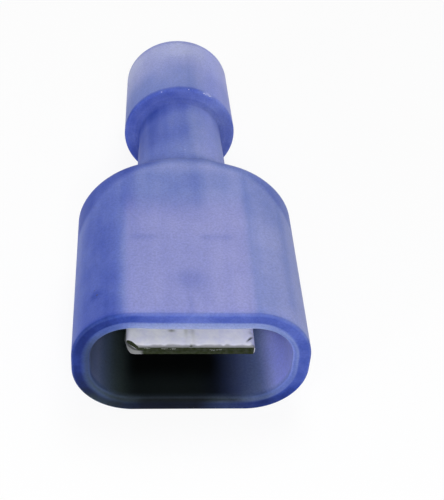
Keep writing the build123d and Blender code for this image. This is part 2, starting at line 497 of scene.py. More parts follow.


# What shows through the wall, with painted light and shade on it: x across, d from the mouth and z from the
# wire axis, in mm
# Depth of colour: 0 is pale, 1 is deep blue
seenThroughAndShade = {
    "overTab": 0.18,
    "leftShade": 0.54,
    "tab": (-3.3, 2.9),
    "tabEnd": 9.6,
    "tabLightShare": 0.3,
    "hole": (-0.2, 2.45),
    "holeRadius": 0.8,
    "holeDepth": 0.26,
    "flapEdges": ((-3.1, -2.7, -1.9, -1.3), (0.3, 0.7, 1.9, 2.4)),  # starts, full, fades, ends
    "flapEnd": 5.5,
    "flapShadow": 0.22,
    "stripStart": 7.4,
    "stripShade": 0.24,
    "seamAt": -0.15,
    "tabEdgeAt": 3.05,
    "roundEdgeAt": 4.8,
    "ridgeStart": 11.75,
    "ridgeCurve": 0.115,
    "ridgeDepth": 0.49,
    "neckFrom": (13.1, 13.9),
    "neckDepth": 0.55,
    "collarDepth": 0.34,
    "ringDepth": 0.82,
    "rimDepth": 0.78,
    "rimHollowShade": 0.95,
    "rimEdge": 0.52,  # inset at which the rim's face turns into the lip
}


def shroudDepth(x, d, z):
    s = seenThroughAndShade

    # painted shade on the deep left side; paler over the tab, as painted light from the metal under the wall
    left = smooth(-x, 2.7, 4.0) * (1 - 0.14 * smooth(d, 5, 9) - 0.22 * smooth(-x, 4.8, 5.6))
    left = left * (1 + 0.12 * (1 - smooth(d, 3.0, 5.0)) - 0.06 * softLine(d, 5.5, 1.2))
    depth = s["overTab"] + s["leftShade"] * left - 0.09 * between(x, 0.3, 1.2, 2.4, 3.0)

    # painted shade in a narrow strip behind the tab
    strip = smooth(d, s["stripStart"] - 1.2, s["stripStart"] + 1.2) * (1 - 0.85 * smooth(d, 10.3, 11.4))
    strip = strip * (1 - 0.5 * smooth(x, 0.3, 2.5)) * (1 - smooth(-x, 3.0, 3.8)) * (1 - smooth(x, 3.8, 5))
    depth = depth + s["stripShade"] * strip

    # detent hole, and painted shadow at the rear ends of the folded flaps
    fromHole = ((x - s["hole"][0]) ** 2 + (d - s["hole"][1]) ** 2) / s["holeRadius"] ** 2
    depth = depth + s["holeDepth"] * np.exp(-(fromHole**1.5))
    flaps = sum(between(x, *edges) for edges in s["flapEdges"])
    depth = depth + (s["flapShadow"] - 0.04 * smooth(-x, 0, 1)) * softLine(d, s["flapEnd"], 0.22) * flaps
    depth = depth + 0.1 * between(-x, 1.9, 2.7, 2.9, 3.2) * softLine(d, 6.0, 2.0)  # painted shade beside the left flap

    # lines along the shroud, a painted highlight, and marks in its skin
    depth = depth + 0.2 * softLine(x, s["seamAt"], 0.12) * (1 - smooth(d, 0.9, 1.6))
    depth = depth + 0.11 * softLine(x, s["tabEdgeAt"], 0.17)
    depth = depth + 0.13 * softLine(x, s["roundEdgeAt"], 0.2) * smooth(d, 0.5, 1.5)
    depth = depth - 0.07 * softLine(x, 4.1, 0.5) * (1 - smooth(d, 5.0, 6.5))  # painted highlight in a pale stripe beside the tab
    depth = depth + 0.2 * softSpot(z, d, 2.75, 1.95, 0.2, 0.3) * (x < 0)  # smudge on the left round
    return depth + 0.14 * (1 - smooth(d, 0.1, 0.45))  # just behind the rim


def neckDepth(x, d):
    # painted light and shade: paler right of the middle with a light stripe, deeper on the left; deeper
    # towards the collar, the last step a painted shadow of the collar
    depth = stepped(x, seenThroughAndShade["neckDepth"] - 0.11, (-0.22, 0.2, 1.0), (0.14, 1.9, 2.5))
    depth = depth + 0.19 * smooth(-x, 0.2, 2.0) - 0.06 * softLine(x, 0.6, 0.3)
    return stepped(d, depth, (0.11, 14.2, 15.5), (0.12, 17.3, 18.5))


def collarDepth(x, d, z):
    start = seenThroughAndShade["collarDepth"] + 0.4
    depth = stepped(d, start, (-0.4, 18.96, 19.3), (-0.5, 19.3, 24.0), (0.3, 24.2, 24.6))
    # deeper on the left as painted shade, paler on the right and in a stripe as painted highlight
    depth = depth + 0.14 * smooth(-x, 1.2, 3.1) * (1 - smooth(d, 21, 24)) - 0.1 * smooth(x, 1.6, 2.6)
    depth = depth + 0.1 * softLine(x, 0.1, 0.9) * (1 - smooth(d, 21.5, 23.5)) - 0.1 * softLine(x, 1.6, 0.5)
    turn = np.degrees(np.arctan2(z, x))
    return depth - 0.9 * softSpot(turn, d, 61.5, 19.0, 4.5, 0.08)  # flash at the edge


def outsideDepth(x, d, z):
    s = seenThroughAndShade
    ridgeAt = s["ridgeStart"] - s["ridgeCurve"] * x**2
    # the shoulder's ridge, deeper towards the left as painted shade
    ridge = stepped(-x, s["ridgeDepth"], (0.23, 0.8, 2.6), (0.1, 2.8, 3.6)) + 0.03 * smooth(x, 2, 4)
    depth = mix(shroudDepth(x, d, z), ridge, smooth(d, ridgeAt - 0.35, ridgeAt + 0.3))
    depth = mix(depth, neckDepth(x, d), smooth(d, *s["neckFrom"]))
    return np.where(d > housingSizes["collarAt"] - 0.02, collarDepth(x, d, z), depth)


# Each of the next four gives depth of colour, painted shade in the hollow, and how grey that shade is

def rimMasks(x, z, inset, left, right):  # front face: painted shade deeper on the left and towards the bottom, near black and greyer under the hollow
    under = smooth(-z, 1.9, 2.8)
    depth = seenThroughAndShade["rimDepth"] + 0.42 * left + 0.1 * right + 0.2 * smooth(-z, 0.3, 2.8)
    hollowShade = stepped(x, seenThroughAndShade["rimHollowShade"], (-0.33, 0.3, 1.9), (-0.2, 2.4, 3.8), (-0.3, 3.6, 4.8))
    hollowShade = stepped(-x, hollowShade, (-0.25, 2.2, 3.6), (-0.4, 3.4, 4.8)) * under
    shadeGreying = 0.05 + 0.2 * under * (1 - smooth(x, 1.5, 3.5)) + 0.08 * (1 - smooth(inset, 0, 0.12))
    return depth, hollowShade, shadeGreying


def ringMasks(x, z):  # front of the collar: painted light, paler towards the right and the top and in a line near the fillet
    depth = stepped(x, seenThroughAndShade["ringDepth"], (-0.11, -1.6, 1.0), (-0.12, 1, 2.6))
    depth = depth - 0.07 * smooth(z, -0.8, 0.6) - 0.07 * softLine(np.hypot(x, z), 2.8, 0.06)
    return depth, 0 * x, 0 * x


def wallMasks(x, d, z):  # inner wall: painted shade, dark and grey in the hollow, a little lighter near the mouth at the bottom; painted light at both sides; pale over the tab
    right = smooth(x, 1.05, 4.2) * (1 - 0.35 * smooth(-z, 1.8, 2.5))
    left = smooth(-x, 2.6, 4.75) * (1 - 0.3 * smooth(-z, 1.5, 2.4))
    ceiling = smooth(z, 0.9, 2.3)
    depth = 0.8 - 0.6 * right - 0.5 * left - 0.7 * ceiling
    hollowShade = np.clip(0.999 - 0.93 * right - 0.53 * left - 0.95 * ceiling, 0, 1)
    hollowShade = hollowShade - 0.03 * (1 - smooth(d, 0.8, 2.2)) * smooth(-z, 1.2, 2.2) * (1 - smooth(x, 1.0, 4.3))
    shadeGreying = stepped(x, 0.9, (-0.6, 0.2, 1.9), (-0.3, 3.4, 4.6)) - 0.65 * smooth(-x, 3.4, 4.8)
    return depth, hollowShade, shadeGreying


def lipMasks(x, z, inset, edge, left, right, top):  # painted light over the tab and a painted highlight in a streak on the right; painted shade, dark and grey, at the sides
    streak = softLine(inset, edge + 0.07, 0.06) * smooth(x, 2.6, 4.0) * smooth(z, -1.4, 0.4)
    sideDepth = 0.5 + 0.4 * left + 0.22 * right - 0.22 * streak
    topDepth = 0.34 - 0.3 * smooth(inset, 0.6, 1.07) * (1 - smooth(np.abs(x + 0.1), 2.6, 3.4))
    topDepth = topDepth + 0.6 * smooth(-x, 2.2, 4.2) + 0.15 * smooth(x, 2.8, 4.5)
    sideHollowShade = stepped(x, 0.975, (-0.1, 0.6, 1.9), (-0.42, 2.0, 3.6), (-0.4, 3.6, 4.8))
    sideHollowShade = stepped(-x, sideHollowShade, (-0.11, 2.0, 3.3), (-0.3, 3.3, 5.0))
    sideShadeGreying = stepped(x, 0.8, (-0.4, 1.0, 3.6), (-0.25, 3.6, 4.8))
    sideShadeGreying = sideShadeGreying - 0.4 * smooth(-x, 3.2, 4.9) * (1 - 0.5 * smooth(-z, 0.3, 1.6))
    return mix(sideDepth, topDepth, top), mix(sideHollowShade, 0, top), mix(sideShadeGreying, 0.2, top)


def nylonMasks(x, d, z, rim, inset, face, inside):
    s = seenThroughAndShade
    right, left, top = smooth(x, 1.5, 5.0), smooth(-x, 1.5, 5.0), smooth(z, 1.0, 2.4)
    onSkin = (1 - rim) * (inside <= 0)
    steep = 0.4 + 0.25 * smooth(x, 2.6, 4.0) * smooth(z, -1.4, 0.4)  # where the lip runs into the inner wall
    steep = steep * rim * smooth(inset, 0.74, 0.86) * (1 - top)
    inside = np.maximum(inside, steep)
    edge = s["rimEdge"] + 0.06 * right - 0.05 * left
    soft = np.maximum(left * (1 - top), 0.8 * smooth(-z, 0.6, 2.4) * (1 - right))
    lip = (rim - steep) * smooth(inset, edge - 0.03 - 0.04 * soft, edge + 0.03 + 0.3 * soft)

    masks = (outsideDepth(x, d, z), 0 * x, 0 * x)
    layers = (
        (rimMasks(x, z, inset, left, right), rim),
        (ringMasks(x, z), face),
        (wallMasks(x, d, z), inside),
        (lipMasks(x, z, inset, edge, left, right, top), lip),
    )
    for layer, share in layers:
        masks = [mix(below, above, share) for below, above in zip(masks, layer)]
    depth, hollowShade, shadeGreying = masks

    lit = 0.75 * inside * (1 - lip) * smooth(x, 3.4, 4.9) * (1 - smooth(z, 0.9, 2.3))
    lit = lit + 0.4 * onSkin * smooth(x, 0.6, 2.4) * smooth(d, 18.9, 19.1)  # painted light on the collar's right side
    lit = lit + 0.25 * onSkin * smooth(x, 0.6, 1.8) * between(d, 13.4, 14.2, 18.5, 18.8)  # painted light on the neck's right side
    # painted light from the tab seen under the top wall
    tabLeft, tabRight = s["tab"]
    metal = smooth(x, tabLeft - 0.2, tabLeft + 0.25) * (1 - smooth(x, tabRight - 0.35, tabRight + 0.2))
    metal = metal * onSkin * smooth(z, 2.6, 3.2) * (1 - smooth(d, s["tabEnd"] - 2.4, s["tabEnd"] - 0.2))
    return depth, np.clip(hollowShade, 0, 1), np.clip(shadeGreying, 0, 1), lit, metal * s["tabLightShare"]


def makeHousing(material):
    angles, rings = housingProfile()
    points = np.empty((len(rings), len(angles), 3))
    weights = np.empty((4, *points.shape[:2]))
    for i, (distance, radii, ringWeights) in enumerate(rings):
        x, z = radii * np.cos(angles), radii * np.sin(angles)
        points[i] = np.stack([x, mouthY + distance + 0 * angles, axisZ + z], 1)
        for k, weight in enumerate(ringWeights):
            weights[k, i] = weight
    masks = nylonMasks(points[..., 0], points[..., 1] - mouthY, points[..., 2] - axisZ, *weights)
    mesh = ringMesh("housingShell", points * mm)
    for name, values in zip(("nylonDepthAndShade", "hollowShade", "shadeGreying", "litThrough", "metalBehind"), masks):
        setAttribute(mesh, name, values.ravel())
    piece = newPiece("housingShell", mesh, material)
    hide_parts("housing")
    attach(piece, "root")
    print("housing:", len(mesh.polygons), "faces")


# Terminal: its rear is the CAD mesh with softened edges, and its tip is two layers of sheet made here

terminalSizes = {
    "edgeSoftness": 0.03,
    "sharpAngle": 32.0,
    "cutAt": 2.8,  # where the tip begins, from the mouth
    "across": 130,
    "along": 46,
    "halfThickness": 0.4,
    "foldGap": 0.04,
    "upperClip": (0.6, 0.62),  # across and along
    "lowerRound": 0.75,
    "lowerShift": 0.07,  # to the left of the upper layer at the tip
    "rightRound": 0.1,
    "bevel": (0.5, 0.17),  # rolled edge of the tip, along and down
    "wobble": (0.006, 0.004),
    "seam": (0.035, 0.015),  # half width and depth
    "crease": ((2.74, 0.26), (3.1, 0.68)),  # from and to, each across and from the tip
    "creaseSize": (0.05, 0.06),  # half width and depth
    "pit": (-0.95, 1.0, 0.16, 0.1),  # across, from the tip, half width and length
    "pitDepth": 0.03,
    "notch": (0.0, 0.07, 0.07, 0.07),
    "notchDepth": 0.08,
    "smear": (3.0, 0.85, 0.16, 0.12),
    "lowerCorner": (2.3, 2.65),  # where the lower layer's open left corner starts and is full
    "wallShares": (0.08, 0.35, 0.65, 0.92),
}
terminalLow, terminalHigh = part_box("terminal")
tipAt = terminalLow.y / mm - mouthY
tabHalf = (terminalHigh.x - terminalLow.x) / 2 / mm


def cutTerminal():  # the CAD mesh without its tip, closed at the cut
    s = terminalSizes
    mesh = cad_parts["terminal"].data.copy()
    solid = bmesh.new()
    solid.from_mesh(mesh)
    bmesh.ops.remove_doubles(solid, verts=solid.verts, dist=1e-7)
    parts = solid.verts[:] + solid.edges[:] + solid.faces[:]
    place = (0, (mouthY + s["cutAt"]) * mm, 0)
    bmesh.ops.bisect_plane(solid, geom=parts, plane_co=place, plane_no=(0, -1, 0), clear_outer=True)
    openEdges = [edge for edge in solid.edges if edge.is_boundary]
    bmesh.ops.triangle_fill(solid, edges=openEdges, use_beauty=True, use_dissolve=False)
    bmesh.ops.dissolve_limit(solid, angle_limit=math.radians(0.4), verts=solid.verts, edges=solid.edges)
    solid.to_mesh(mesh)
    solid.free()
    return mesh


def tipSides(upper, back):  # how far the left and right sides stand in, by distance behind the tip
    s = terminalSizes

    def rounded(radius):
        near = np.clip(radius - back, 0, None)
        return radius - np.sqrt(radius**2 - near**2)

    clipWide, clipLong = s["upperClip"]
    left = clipWide * np.clip(1 - back / clipLong, 0, 1) ** 1.4
    if not upper:
        left = rounded(s["lowerRound"]) - s["lowerShift"] * (1 - smooth(back, 0.7, 1.6))
    return left, rounded(s["rightRound"])


def tipMarks(x, d):  # crease, pit and notch, each 0 to 1
    s = terminalSizes
    start, end = (np.array(p) for p in s["crease"])
    run = end - start
    part = np.clip(((x - start[0]) * run[0] + (d - start[1]) * run[1]) / (run @ run), 0, 1)
    away = np.hypot(x - start[0] - part * run[0], d - start[1] - part * run[1])
    crease = softLine(away, 0, s["creaseSize"][0]) * softLine(part, 0.5, 0.42)
    return crease, softSpot(x, d, *s["pit"]), softSpot(x, d, *s["notch"])


def tipHeights(x, d, upper):  # outer and inner face of the layer, from the fold
    s = terminalSizes
    half = s["halfThickness"]
    fromSide = np.clip(tabHalf - np.abs(x), 0, half)
    height = np.sqrt(np.maximum(half**2 - (half - fromSide) ** 2, 0))
    bevelLong, bevelDeep = s["bevel"]
    rolled = 1 - np.sqrt(1 - np.clip(1 - d / bevelLong, 0, 1) ** 2)
    height = np.minimum(height, half - bevelDeep * rolled)
    flat = smooth(fromSide, 0.1, 0.3)
    large, small = s["wobble"]
    wobble = large * np.sin(7 * x + 1.3) * np.sin(5 * d + 0.4) + small * np.sin(17 * x + 11 * d)
    height = height - np.abs(wobble) * flat
    if upper:
        crease, pit, notch = tipMarks(x, d)
        height = height - s["creaseSize"][1] * crease - s["seam"][1] * softLine(x, 0.0, s["seam"][0])
        height = height - s["pitDepth"] * pit - s["notchDepth"] * notch
    base = s["foldGap"] / 2 * flat - 0.012 * (1 - flat)
    return np.maximum(height, base + 0.01), base


def upperPaint(x, d):  # on the top of the tip: bare metal at the cut front, painted shade just behind it and in the crease; darker along the seam, in the pit, the notch and the smear
    crease, pit, notch = tipMarks(x, d)
    ragged = 0.5 + 0.5 * np.sin(9 * x + 1.7 * np.sin(4 * x)) * np.sin(2.3 * x + 0.6)
    front = 1 - smooth(d, 0.02, 0.07 + 0.1 * ragged)
    seam = softLine(x, -0.24, 0.1) + softLine(x, 0.1, 0.1)
    seam = seam + 0.5 * softLine(x, -0.07, 0.25) * smooth(d, 0.5, 1.0)
    smudgeAndShade = 0.26 * seam * (0.3 + 0.7 * smooth(d, 0.3, 0.95)) + 0.2 * (1 - smooth(d, 0.05, 0.5))
    smudgeAndShade = smudgeAndShade + 0.05 * softLine(d, 0.45, 0.3) * np.sin(3.1 * x + 1) ** 2
    smudgeAndShade = smudgeAndShade + 0.3 * softSpot(x, d, *terminalSizes["smear"])
    grimeAndShade = np.clip(0.85 * crease + smudgeAndShade + 0.75 * pit + 0.9 * notch, 0, 1)
    return np.clip(0.75 * front + 0.9 * crease**2, 0, 1), grimeAndShade


def tipPaint(x, d, upper):  # bare metal, and grime with painted shade, each for the top and the bottom of the layer; the lower layer's open left corner is darkened as painted shade
    if upper:
        bareAndShade, grimeAndShade = upperPaint(x, d)
        return (bareAndShade, 1 - smooth(d, 0.03, 0.12)), (grimeAndShade, 0 * x)
    corner = smooth(-x, *terminalSizes["lowerCorner"])
    bareAndShade = (1 - smooth(d, 0.03, 0.09)) * (1 - corner) + 0.8 * corner
    return (bareAndShade, (1 - smooth(d, 0.12, 0.3)) * (1 - corner)), (0.45 * corner, 0.6 * corner)


def tipLayer(upper):  # one layer of the folded tip: top and bottom grids with a wall round them
    s = terminalSizes
    across, along = s["across"], s["along"]
    back = (np.linspace(0, 1, along) ** 1.6) * (s["cutAt"] - tipAt)
    left, right = tipSides(upper, back)
    even = np.linspace(0, 1, across)
    share = 0.6 * (0.5 - 0.5 * np.cos(np.pi * even)) + 0.4 * even  # closer together near the sides
    x = (left - tabHalf)[:, None] * (1 - share) + (tabHalf - right)[:, None] * share
    d = back[:, None] + 0 * x
    height, base = tipHeights(x, d, upper)
    points = []
    for level in (height, base) if upper else (-base, -height):
        points += np.stack([x, mouthY + tipAt + d, axisZ + level], -1).reshape(-1, 3).tolist()
    cut, dirt = (np.concatenate([part.ravel() for part in pair]).tolist() for pair in tipPaint(x, d, upper))

    faces, layer = [], across * along
    for i in range(along - 1):
        for j in range(across - 1):
            a, b, c, e = i * across + j, i * across + j + 1, (i + 1) * across + j + 1, (i + 1) * across + j
            faces += [(a, b, c, e), (layer + e, layer + c, layer + b, layer + a)]
    loop = list(range(across)) + [i * across + across - 1 for i in range(1, along)]
    loop += [(along - 1) * across + j for j in range(across - 2, -1, -1)]
    loop += [i * across for i in range(along - 2, 0, -1)]
    walls = [loop]
    for share in s["wallShares"]:
        row = []
        for index in loop:
            high, low = points[index], points[layer + index]
            row.append(len(points))
            points.append([high[0], high[1], high[2] + (low[2] - high[2]) * share])
            behind, inner = high[1] - mouthY - tipAt, high[0] + tabHalf  # from the tip and the left side
            clipped = upper and 0.02 < inner < left[0] + 0.02 and behind < s["upperClip"][1]
            # walls: bare on the cut front and the clipped corner, greyed all round, and darker at the lower
            # layer's open corner as painted shade
            corner = 0.0 if upper else float(smooth(-high[0], *s["lowerCorner"]))
            cut.append(0.4 * corner + (1.0 if behind < 0.012 or clipped else 0.0) * (1 - corner))
            dirt.append(0.3 + 0.4 * corner)
        walls.append(row)
    walls.append([layer + index for index in loop])
    for first, second in zip(walls, walls[1:]):
        for k in range(len(loop)):
            n = (k + 1) % len(loop)
            faces.append((first[k], second[k], second[n], first[n]))
    mesh = bpy.data.meshes.new("tipLayer")
    mesh.from_pydata((np.array(points) * mm).tolist(), [], faces)
    turnOutwards(mesh)
    setAttribute(mesh, "cutEdgeAndShade", cut)
    setAttribute(mesh, "grimeAndShade", dirt)
    return mesh


def joinMeshes(name, meshes):  # with their painted values
    points, faces, painted = [], [], {"cutEdgeAndShade": [], "grimeAndShade": []}
    for mesh in meshes:
        first = len(points)
        points += [tuple(v.co) for v in mesh.vertices]
        faces += [tuple(first + k for k in face.vertices) for face in mesh.polygons]
        for label, values in painted.items():
            values += [item.value for item in mesh.attributes[label].data]
    joined = bpy.data.meshes.new(name)
    joined.from_pydata(points, [], faces)
    for label, values in painted.items():
        setAttribute(joined, label, values)
    return joined


def makeTerminal(material):
    s = terminalSizes
    holder = newPiece("terminalSheet", cutTerminal(), material)
    soften = holder.modifiers.new("soften", "BEVEL")
    soften.width = s["edgeSoftness"] * mm
    soften.segments = 2
    soften.limit_method = "ANGLE"
    soften.angle_limit = math.radians(s["sharpAngle"])
    rear = finishedMesh(holder)
    barrelEnd = terminalHigh.y - 0.04 * mm
    setAttribute(rear, "cutEdgeAndShade", [1.0 if v.co.y > barrelEnd else 0.0 for v in rear.vertices])
    setAttribute(rear, "grimeAndShade", [0.0] * len(rear.vertices))
    mesh = joinMeshes("terminalSheet", (rear, tipLayer(True), tipLayer(False)))
    shadeSmooth(mesh)
    mesh.set_sharp_from_angle(angle=math.radians(s["sharpAngle"]))
    piece = newPiece("terminalSheet", mesh, material)
    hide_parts("terminal")
    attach(piece, "root")
    print("terminal:", len(mesh.polygons), "faces")


# Grip sleeve: a rounded wall section swept round the wire axis

sleeveSizes = {"wall": 0.2, "edgeRound": 0.07, "edgeSteps": 4, "around": 96}


def makeSleeve(material):
    s = sleeveSizes
    low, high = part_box("grip_sleeve")
    radius, length = (high.x - low.x) / 2, high.y - low.y
    kinds = (("Middle radius", "Float"), ("Wall", "Float"), ("Length", "Float"), ("Edge round", "Float"))
    kinds += (("Around", "Int"), ("Finish", "Material"))
    tree, sizes, output = newGeometryTree("sleeveSweep", kinds)
    circle = addNode(tree, "GeometryNodeCurvePrimitiveCircle", None, Resolution=sizes["Around"])
    tree.links.new(sizes["Middle radius"], circle.inputs["Radius"])
    section = tree.nodes.new("GeometryNodeCurvePrimitiveQuadrilateral")
    tree.links.new(sizes["Wall"], section.inputs[0])
    tree.links.new(sizes["Length"], section.inputs[1])
    rounded = addNode(tree, "GeometryNodeFilletCurve", {"mode": "POLY"}, Curve=section.outputs[0])
    tree.links.new(sizes["Edge round"], rounded.inputs["Radius"])
    rounded.inputs["Count"].default_value = s["edgeSteps"]
    tube = addNode(tree, "GeometryNodeCurveToMesh", None, i0=circle.outputs[0])
    tree.links.new(rounded.outputs[0], tube.inputs["Profile Curve"])
    smoothed = addNode(tree, "GeometryNodeSetShadeSmooth", None, i0=tube.outputs[0]).outputs[0]
    finishTree(tree, smoothed, sizes["Finish"], output)
    values = {"Middle radius": radius - s["wall"] / 2 * mm, "Wall": s["wall"] * mm, "Length": length}
    values.update({"Edge round": s["edgeRound"] * mm, "Around": s["around"], "Finish": material})
    mesh = plainMesh("gripSleeve", bpy.data.meshes.new("sleeveBase"), tree, values)
    middle = (low + high) / 2
    mesh.transform(Matrix.Translation(middle) @ Matrix.Rotation(math.radians(90), 4, "X"))
    turnOutwards(mesh)
    cut = [1.0 if abs(v.co.y - middle.y) > length / 2 - 0.02 * mm else 0.0 for v in mesh.vertices]
    setAttribute(mesh, "cutEdgeAndShade", cut)
    setAttribute(mesh, "grimeAndShade", [0.0] * len(mesh.vertices))
    piece = newPiece("gripTube", mesh, material)
    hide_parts("grip_sleeve")
    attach(piece, "root")
    print("grip sleeve:", len(mesh.polygons), "faces")


# Grains along an edge: moulding flash on the collar, and burrs on the cut edge of the tab

edgeGrains = {
    "collarFlash": {
        "spacing": 0.02,
        "size": 0.035,
        "flatness": 0.5,
        "jitter": 0.035,
        "seed": 4,
        "slot": "nylon",
        "arcs": ((56.0, 67.0), (77.5, 79.0), (82.0, 83.0), (111.5, 112.6)),  # degrees round the collar
    },
    "tabBurr": {
        "spacing": 0.03,
        "size": 0.06,
        "flatness": 0.35,
        "jitter": 0.03,
        "seed": 9,
        "slot": "tinned_brass",
        "runs": ((-1.45, -0.75, 0.09), (0.9, 1.5, 0.17), (-2.3, -2.05, 0.05)),  # across from, to, and drop
    },
}


def grainTree():
    kinds = (("Spacing", "Float"), ("Grain size", "Float"), ("Flatness", "Float"), ("Jitter", "Float"))
    kinds += (("Seed", "Int"), ("Finish", "Material"))
    tree, sizes, output = newGeometryTree("grainsAlongPath", kinds)
    path = addNode(tree, "GeometryNodeMeshToCurve", None, i0=sizes["Geometry"]).outputs[0]
    even = tree.nodes.new("GeometryNodeResampleCurve")
    even.mode = "LENGTH"
    tree.links.new(path, even.inputs[0])
    tree.links.new(sizes["Spacing"], even.inputs["Length"])

    def randomVector(low, high, seedShift):
        chance = addNode(tree, "FunctionNodeRandomValue", {"data_type": "FLOAT_VECTOR"}, i0=low, i1=high)
        tree.links.new(calculate(tree, "ADD", sizes["Seed"], seedShift), chance.inputs["Seed"])
        return chance.outputs[0]

    anyWay = randomVector((-1, -1, -1), (1, 1, 1), 0.0)
    shift = addNode(tree, "ShaderNodeVectorMath", {"operation": "SCALE"}, i0=anyWay)
    tree.links.new(sizes["Jitter"], shift.inputs["Scale"])
    spread = addNode(tree, "GeometryNodeSetPosition", None, Geometry=even.outputs[0], Offset=shift.outputs[0])
    grain = addNode(tree, "GeometryNodeMeshIcoSphere", None, Radius=sizes["Grain size"], Subdivisions=2)
    flat = addNode(tree, "ShaderNodeCombineXYZ", None, X=1.0, Y=1.0, Z=sizes["Flatness"]).outputs[0]
    growth = addNode(tree, "ShaderNodeVectorMath", {"operation": "MULTIPLY"}, i0=flat)
    tree.links.new(randomVector((0.35, 0.35, 0.35), (1.1, 1.1, 1.0), 1.0), growth.inputs[1])
    placed = addNode(tree, "GeometryNodeInstanceOnPoints", None, Points=spread.outputs[0])
    tree.links.new(grain.outputs[0], placed.inputs["Instance"])
    tree.links.new(randomVector((-0.5, -0.5, 0), (0.5, 0.5, 6.3), 2.0), placed.inputs["Rotation"])
    tree.links.new(growth.outputs[0], placed.inputs["Scale"])
    finishTree(tree, placed.outputs[0], sizes["Finish"], output)
    return tree


def pathMesh(name, runs):  # each run is a row of points in mm
    points, edges = [], []
    for run in runs:
        edges += [(len(points) + k, len(points) + k + 1) for k in range(len(run) - 1)]
        points += [tuple(c * mm for c in point) for point in run]
    mesh = bpy.data.meshes.new(name)
    mesh.from_pydata(points, edges, [])
    return mesh


def makeGrains(name, tree, runs, material, darkness):
    s = edgeGrains[name]
    values = {"Spacing": s["spacing"] * mm, "Grain size": s["size"] * mm, "Flatness": s["flatness"]}
    values.update({"Jitter": s["jitter"] * mm, "Seed": s["seed"], "Finish": material})
    mesh = plainMesh(name, pathMesh(name, runs), tree, values)
    setAttribute(mesh, "darkness", [darkness] * len(mesh.vertices))
    # painted shade: the tin greys the burrs, which sit at the tab's shaded front
    setAttribute(mesh, "grimeAndShade", [0.9] * len(mesh.vertices))
    shadeSmooth(mesh)
    piece = newPiece(name, mesh, material)
    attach(piece, "root")
    print(name + ":", len(mesh.polygons), "faces")


def makeEdgeGrains(fleck, tin):
    tree = grainTree()
    h = housingSizes
    runs = []
    for start, end in edgeGrains["collarFlash"]["arcs"]:
        turns = np.radians(np.linspace(start, end, 12))
        y, radius = mouthY + h["collarAt"] + 0.07, h["collarRadius"] - 0.06
        runs.append([(radius * math.cos(t), y, axisZ + radius * math.sin(t)) for t in turns])
    makeGrains("collarFlash", tree, runs, fleck, 0.12)
    top = axisZ + terminalSizes["halfThickness"] - terminalSizes["bevel"][1]
    runs = [[(x, mouthY + tipAt + 0.02, top - drop) for x in np.linspace(a, b, 6)]
            for a, b, drop in edgeGrains["tabBurr"]["runs"]]
    makeGrains("tabBurr", tree, runs, tin, 0.0)


# Specks in the moulded skin: angle round the wire axis, distance from the mouth, size, darkness and inset
specks = {
    "places": (
        (104.2, 16.36, 0.055, 1.0, 0.0),
        (88.9, 13.9, 0.04, 0.0, 0.0),
        (148.5, 1.9, 0.06, 1.0, 0.0),
        (150.2, 2.3, 0.04, 1.0, 0.0),
        (147.6, 1.6, 0.04, 1.0, 0.0),
        (205.6, 2.0, 0.07, 1.0, 0.88),
    ),
    "flatness": 0.25,
    "sunk": 0.8,  # share of the thickness below the skin
    "seed": 2,
}


